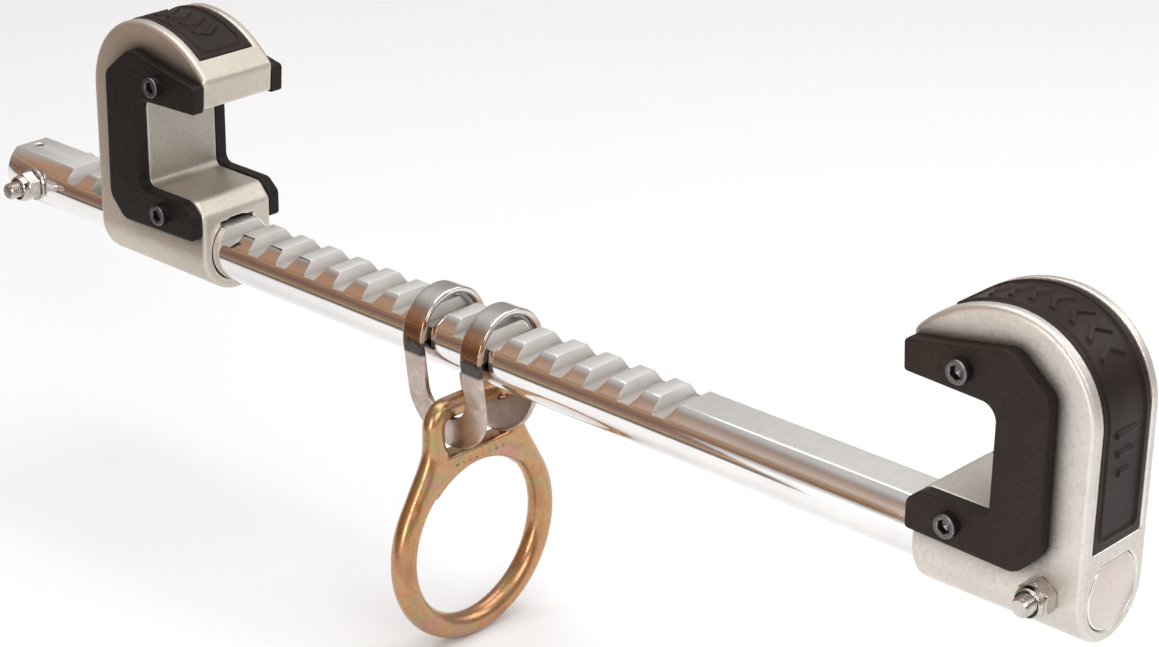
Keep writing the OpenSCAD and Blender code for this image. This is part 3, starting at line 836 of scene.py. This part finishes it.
def build_band(name, node, body, mapping, flip, window):
    path = band_path()
    step = np.hypot(*np.diff(path[:, :2], axis=0).T)
    along = np.concatenate([[0], np.cumsum(step)])
    across = np.concatenate([[-19.0], np.linspace(-18.98, 18.98, 85), [19.0]])
    grid_a, grid_c = np.meshgrid(along, across, indexing="ij")
    height = band_height(grid_a, grid_c, along[-1])
    height[:, 0] = height[:, -1] = 0.5
    height[0, :] = np.minimum(height[0, :], 0.8)
    height[-1, :] = np.minimum(height[-1, :], 0.8)
    loops = []
    for i, (u, z, nu, nz) in enumerate(path):
        low = [(u, 19.0, z), (u, -19.0, z)]
        top = [(u + nu * h, y, z + nz * h) for y, h in zip(across, height[i])]
        loops.append(np.array(low + top))
    verts, faces = loft(loops)
    piece = make(name, mapping(verts), faces, body, "band_rubber", [node], [BAND], angle=50,
                 flip=not flip)
    if window:
        box = [(u, y, z) for u in (90, 100) for y in (-5.5, 5.5) for z in (35.4, 56.2)]
        sides = [(0, 1, 3, 2), (4, 6, 7, 5), (0, 4, 5, 1), (2, 3, 7, 6), (0, 2, 6, 4), (1, 5, 7, 3)]
        cutter = make("cutter", mapping(box), sides, None, None, (), [BAND], flip=flip, angle=30)
        cut(piece, cutter, 50)


build_band("fixed_cover_band", "fixed_band", "frame", on_fixed, False, False)
build_band("sliding_cover_band", "sliding_band", "slider", on_sliding, True, True)

# ---------------------------------------------------------------- bolts, nuts, washer, finger tab
HEAD = [(0, 0.5, None), (0, 7.6, None), (0.25, 7.9, 8), (0.5, 20, 8), (5.0, 20, 8),
        (5.35, 9.1, 8), (5.7, 8.7, 8), (6.05, 8.2, 8), (6.3, 7.5, 8), (6.4, 7.0, None),
        (6.4, 4.2, None), (6.3, 3.6, None), (6.3, 0.4, None)]
NUT = [(0.0, 5.1, None), (0.0, 7.4, None), (0.15, 7.9, 8), (0.45, 8.7, 8), (0.8, 9.15, 8),
       (1.1, 20, 8), (6.6, 20, 8), (7.0, 9.1, 8), (7.35, 8.7, 8), (7.7, 8.2, 8), (7.95, 7.75, None),
       (8.1, 7.62, None), (8.5, 7.55, None), (10.3, 7.5, None), (11.0, 7.38, None),
       (11.5, 7.1, None), (11.8, 6.75, None), (11.88, 6.5, None), (11.7, 6.33, None),
       (8.0, 6.3, None), (7.9, 5.1, None)]


def hollow(profile, segments=96, turn=0.0):
    """Turned ring: the last loop joins the first."""
    v, f = turned(profile, segments, turn)
    n, rows = segments, len(profile)
    f = f[:-2]
    f += [((rows - 1) * n + i, (rows - 1) * n + (i + 1) % n, (i + 1) % n, i) for i in range(n)]
    return v, f


def cross_bolt(x, head_y, end_y, turn):
    v, f = turned(HEAD, 96, turn)
    head = (aim(v, (x, head_y, 0), (0, 1, 0)), f)
    v, f = turned([(0, 4.95, None), (head_y + end_y - 14, 4.95, None)], 48)
    shank = (aim(v, (x, head_y, 0), (0, -1, 0)), f)
    v, f = thread(4.98, 1.5, 14)
    tip = (aim(v, (x, 14 - end_y, 0), (0, -1, 0)), f)
    return join([head, shank, tip])


bolt = cross_bolt(FIXED_LIP + 77, HALF, 43, 0.3)
make("jaw_cross_bolt", *bolt, "frame", "zinc_hardware", ["jaw_bolt"], [ZINC], angle=28)
bolt = cross_bolt(27, 18.45, 39.4, 0.2)
make("stop_cross_bolt", *bolt, "frame", "zinc_hardware", ["stop_bolt"], [ZINC], angle=28)
nuts = []
for x, seat, turn in ((FIXED_LIP + 77, HALF, 0.20), (27, 20.45, 0.42)):
    v, f = hollow(NUT, 96, turn)
    nuts.append((aim(v, (x, -seat, 0), (0, -1, 0)), f))
make("lock_nut_pair", *join(nuts), "frame", "zinc_hardware", ["lock_nuts"], [ZINC], angle=28)
v, f = hollow([(0, 5.3, None), (0, 9.7, None), (0.3, 10, None), (1.7, 10, None),
               (2.0, 9.7, None), (2.0, 5.5, None), (1.8, 5.3, None)], 72)
make("stop_flat_washer", aim(v, (27, -18.45, 0), (0, -1, 0)), f, "frame", "zinc_hardware",
     ["stop_washer"], [ZINC], angle=35)


def tab_field(u, y, z):
    base = np.maximum(np.abs(y) - 9, np.abs(u - 100.2) - 2)
    crown = np.hypot(np.maximum(np.abs(y) - 6, 0), np.maximum(u - 102.2, 0)) - 3
    crown = np.maximum(crown, 100 - u)
    ribs = 0.35 * np.maximum(np.cos((z - 33) * math.pi / 2), 0)
    plan = np.minimum(base, crown + ribs)
    f = round_max(plan, np.abs(z - 41) - 8, 1.0)
    hole = np.hypot(y, z - 41)
    f = np.maximum(f, 2.2 - hole)
    return np.maximum(f, -np.maximum(hole - 4, 102.7 - u))


tab_points, tab_quads = skin(tab_field, (97, -10.5, 31.5), (106.5, 10.5, 50.5), 0.35)
make("finger_tab", on_sliding(tab_points), tab_quads, "lock", "tab_plastic", ["trigger_tab"],
     [TAB], angle=0, flip=True)

# ---------------------------------------------------------------- saddle
LEAN = math.radians(8)
MIDDLE_R = 23.2
PLATE = 1.7


def hook_point(s, t):
    """A point on the bent plate: s runs along the hook from its top, and t out of its face."""
    turn = abs(s) / MIDDLE_R
    side = 1 if s >= 0 else -1
    limit = math.pi / 2 + LEAN
    if turn <= limit:
        r = MIDDLE_R + t
        return side * r * math.sin(turn), r * math.cos(turn)
    more = abs(s) - MIDDLE_R * limit
    y = (MIDDLE_R + t) * math.sin(limit) + more * math.cos(limit)
    z = (MIDDLE_R + t) * math.cos(limit) - more * math.sin(limit)
    return side * y, z


def along_hook(z):
    """Distance along the middle of the plate to a height on a leg."""
    limit = math.pi / 2 + LEAN
    return MIDDLE_R * limit + (MIDDLE_R * math.cos(limit) - z) / math.sin(limit)


def saddle_edges():
    """Inner and outer edge points, as (x, s), once round the long loop of the flat plate."""
    inner_c, outer_c = along_hook(-25.6), along_hook(-29.5)
    inner_r, outer_r = 14.3, 28.5
    pairs = []
    for a in np.linspace(0, math.pi, 61):
        pairs.append(((inner_r * math.cos(a), inner_c + inner_r * math.sin(a)),
                      (outer_r * math.cos(a), outer_c + outer_r * math.sin(a))))
    steps = np.linspace(1, -1, 181)[1:-1]
    pairs += [((-inner_r, inner_c * k), (-outer_r, outer_c * k)) for k in steps]
    for a in np.linspace(math.pi, 2 * math.pi, 61):
        pairs.append(((inner_r * math.cos(a), -inner_c + inner_r * math.sin(a)),
                      (outer_r * math.cos(a), -outer_c + outer_r * math.sin(a))))
    pairs += [((inner_r, -inner_c * k), (outer_r, -outer_c * k)) for k in steps]
    return pairs


def build_saddle():
    corner = 1.15
    loops = []
    for inner, outer in saddle_edges():
        inner, outer = np.array(inner), np.array(outer)
        span = outer - inner
        width = np.linalg.norm(span)
        span /= width
        outline = []
        for cx, ct, start in ((corner, corner - PLATE, 180), (width - corner, corner - PLATE, 270),
                              (width - corner, PLATE - corner, 0), (corner, PLATE - corner, 90)):
            for a in np.radians(np.linspace(start, start + 90, 6)):
                outline.append((cx + corner * math.cos(a), ct + corner * math.sin(a)))
            if start == 270 or start == 90:
                continue
            more = np.linspace(0, 1, 6)[1:-1]
            if start == 180:
                outline += [(corner + (width - 2 * corner) * m, -PLATE) for m in more]
            else:
                outline += [(width - corner - (width - 2 * corner) * m, PLATE) for m in more]
        loop = []
        for w, t in outline:
            x, s = inner + span * w
            y, z = hook_point(s, t)
            loop.append((SADDLE_X + x, y, z))
        loops.append(np.array(loop))
    verts, faces = loft(loops, closed=True)
    make("saddle_loop", verts, faces, "carrier", "saddle_stainless", ["saddle"], [HOOP], angle=0,
         flip=True)


build_saddle()


# ---------------------------------------------------------------- ring
def ring_field(x, y, z):
    from_middle = np.hypot(y, z + 116.5)
    side = np.abs(y)
    bend = np.where(side < 21, np.abs(z + 33.8), np.abs(np.hypot(side - 21, z + 42.8) - 9))
    below = np.hypot(side - 30 - 0.08 * np.maximum(-z - 58, 0), np.minimum(z + 76, 0))
    path = np.where(z > -42.8, bend, below)
    in_plane = np.maximum(soft_min(np.abs(from_middle - 53), path, 15), 0)
    in_plane = np.where(from_middle < 53, 53 - from_middle, in_plane)
    swell = np.clip((-z - 50) / 24, 0, 1)
    f = np.hypot(in_plane, x) - 6 - swell * swell * (3 - 2 * swell)
    window = round_max(round_max(-61.2 - z, z + 40.2, 3), side - 23.7, 3)
    f = np.maximum(f, -window)
    part = np.clip((side - 22) / 12, 0, 1)
    thin = 5.2 + 2.4 * part + 8 * np.clip((-z - 70) / 16, 0, 1)
    f = round_max(f, np.where(z < -50, np.abs(x) - thin, -20.0), 1.5)
    outer = np.maximum(np.maximum(z + 61.2, 46.4 - from_middle), np.maximum(side - 31, -96 - z))
    marks = 0.0
    for k in range(8):
        at = -17.5 + 5 * k
        wide = 1.1 if k % 3 else 1.7
        stroke = np.maximum(np.abs(y - at) - wide, np.abs(z + 65.4 - 0.0012 * at * at) - 1.8)
        marks = marks + 0.75 / (1 + np.exp(np.clip(stroke / 0.22, -30, 30)))
    web = round_max(np.abs(x) - 5, outer, 1.6)
    return soft_min(f, web, 3.0) + marks


ring_points, ring_quads = skin(ring_field, (-9, -63, -179), (9, 63, -25.5), 0.75)
make("forged_ring", ring_points + np.array([SADDLE_X, 0, 0]), ring_quads, "ring",
     "ring_yellow_zinc", ["anchor_ring"], [RING], angle=0)

# ---------------------------------------------------------------- floor, world and lights
low_z = min(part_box(node)[0].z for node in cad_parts)
floor_mesh = bpy.data.meshes.new("floor")
floor_mesh.from_pydata([(x, y, low_z) for x, y in ((-9, -9), (9, -9), (9, 9), (-9, 9))], [],
                       [(0, 1, 2, 3)])
floor = bpy.data.objects.new("floor", floor_mesh)
scene.collection.objects.link(floor)
floor_look = bpy.data.materials.new("floor_paper")
floor_look.use_nodes = True
paper = floor_look.node_tree.nodes["Principled BSDF"]
paper.inputs["Base Color"].default_value = (0.93, 0.945, 0.96, 1)
paper.inputs["Roughness"].default_value = 0.9
paper.inputs["Specular IOR Level"].default_value = 0.1
floor_mesh.materials.append(floor_look)

world = bpy.data.worlds.new("studio")
world.use_nodes = True
scene.world = world
tree = world.node_tree
coords = tree.nodes.new("ShaderNodeTexCoord")
split = tree.nodes.new("ShaderNodeSeparateXYZ")
tree.links.new(coords.outputs["Generated"], split.inputs[0])


def sky(stops):
    """Colour by height over the horizon."""
    ramp = tree.nodes.new("ShaderNodeValToRGB")
    tree.links.new(split.outputs[2], ramp.inputs["Fac"])
    while len(ramp.color_ramp.elements) < len(stops):
        ramp.color_ramp.elements.new(0.5)
    for element, (at, colour) in zip(ramp.color_ramp.elements, stops):
        element.position = at
        element.color = (*colour, 1)
    return ramp.outputs["Color"]


front = sky(((0.0, (0.26, 0.15, 0.11)), (0.155, (0.33, 0.19, 0.125)), (0.172, (0.62, 0.47, 0.22)),
             (0.19, (0.34, 0.20, 0.13)), (0.30, (0.46, 0.27, 0.18)), (0.50, (0.44, 0.27, 0.18)),
             (0.62, (0.34, 0.25, 0.20)), (0.80, (0.60, 0.59, 0.58))))
back = sky(((0.0, (0.36, 0.34, 0.32)), (0.35, (0.44, 0.42, 0.40)), (0.60, (0.50, 0.49, 0.48)),
            (0.84, (0.78, 0.775, 0.77))))


def sweep(axis, start, end):
    """A factor from 0 to 1 between two places on one axis of the sky."""
    node = tree.nodes.new("ShaderNodeMapRange")
    node.inputs["From Min"].default_value = start
    node.inputs["From Max"].default_value = end
    tree.links.new(split.outputs[axis], node.inputs["Value"])
    return node.outputs["Result"]


def blend(factor, a, b):
    node = tree.nodes.new("ShaderNodeMix")
    node.data_type = "RGBA"
    tree.links.new(factor, node.inputs[0])
    tree.links.new(a, node.inputs[6])
    tree.links.new(b, node.inputs[7])
    return node.outputs[2]


pale = sky(((0.20, (0.34, 0.20, 0.13)), (0.36, (0.60, 0.50, 0.43)), (0.50, (0.50, 0.38, 0.31)),
            (0.66, (0.36, 0.29, 0.25)), (0.82, (0.60, 0.59, 0.58))))
front = blend(sweep(0, -0.66, -0.54), front, blend(sweep(2, 0.20, 0.30), front, pale))
background = tree.nodes["Background"]
tree.links.new(blend(sweep(1, -0.30, 0.05), front, back), background.inputs["Color"])
background.inputs["Strength"].default_value = 1.0


def board(name, near, far, colour):
    """A board on the floor, unseen by the camera, that only mirror-like surfaces reflect."""
    mesh = bpy.data.meshes.new(name)
    z = low_z + 0.001
    ends = [(0.733 * y - 0.02, y, z) for y in (far, near)]
    mesh.from_pydata([(-9, far, z), *ends, (-9, near, z)], [], [(0, 1, 2, 3)])
    sheet = bpy.data.objects.new(name, mesh)
    scene.collection.objects.link(sheet)
    sheet.visible_camera = False
    sheet.visible_diffuse = False
    sheet.visible_shadow = False
    look = bpy.data.materials.new(name)
    look.use_nodes = True
    shader = look.node_tree.nodes["Principled BSDF"]
    shader.inputs["Base Color"].default_value = (*colour, 1)
    shader.inputs["Roughness"].default_value = 0.9
    mesh.materials.append(look)


board("board_dark", -0.29, -0.47, (0.17, 0.135, 0.105))
board("board_line", -0.47, -0.50, (0.80, 0.60, 0.26))
board("board_brown", -0.50, -9.0, (0.28, 0.17, 0.125))

CENTRE = Vector((-0.32, 0, -0.05))


def softbox(name, place_at, size, power, colour, target=CENTRE):
    data = bpy.data.lights.new(name, "AREA")
    data.shape = "RECTANGLE"
    data.size, data.size_y = size
    data.energy = power
    data.color = colour
    lamp = bpy.data.objects.new(name, data)
    lamp.location = place_at
    lamp.rotation_euler = (Vector(target) - Vector(place_at)).to_track_quat("-Z", "Y").to_euler()
    scene.collection.objects.link(lamp)


softbox("top_light", (-0.3, 0.25, 1.7), (2.2, 1.6), 20.5, (0.97, 0.985, 1.0))
softbox("key_light", (1.5, -1.1, 1.3), (1.1, 1.0), 13, (0.985, 0.99, 1.0))
softbox("back_light", (0.7, 1.5, 1.1), (1.4, 0.8), 7, (0.97, 0.985, 1.0))
softbox("front_light", (-0.12, -1.05, 0.10), (0.22, 0.55), 2.6, (1.0, 0.985, 0.97),
        (-0.3, 0, -0.12))

scene.view_settings.view_transform = "Standard"
scene.view_settings.exposure = 0.0
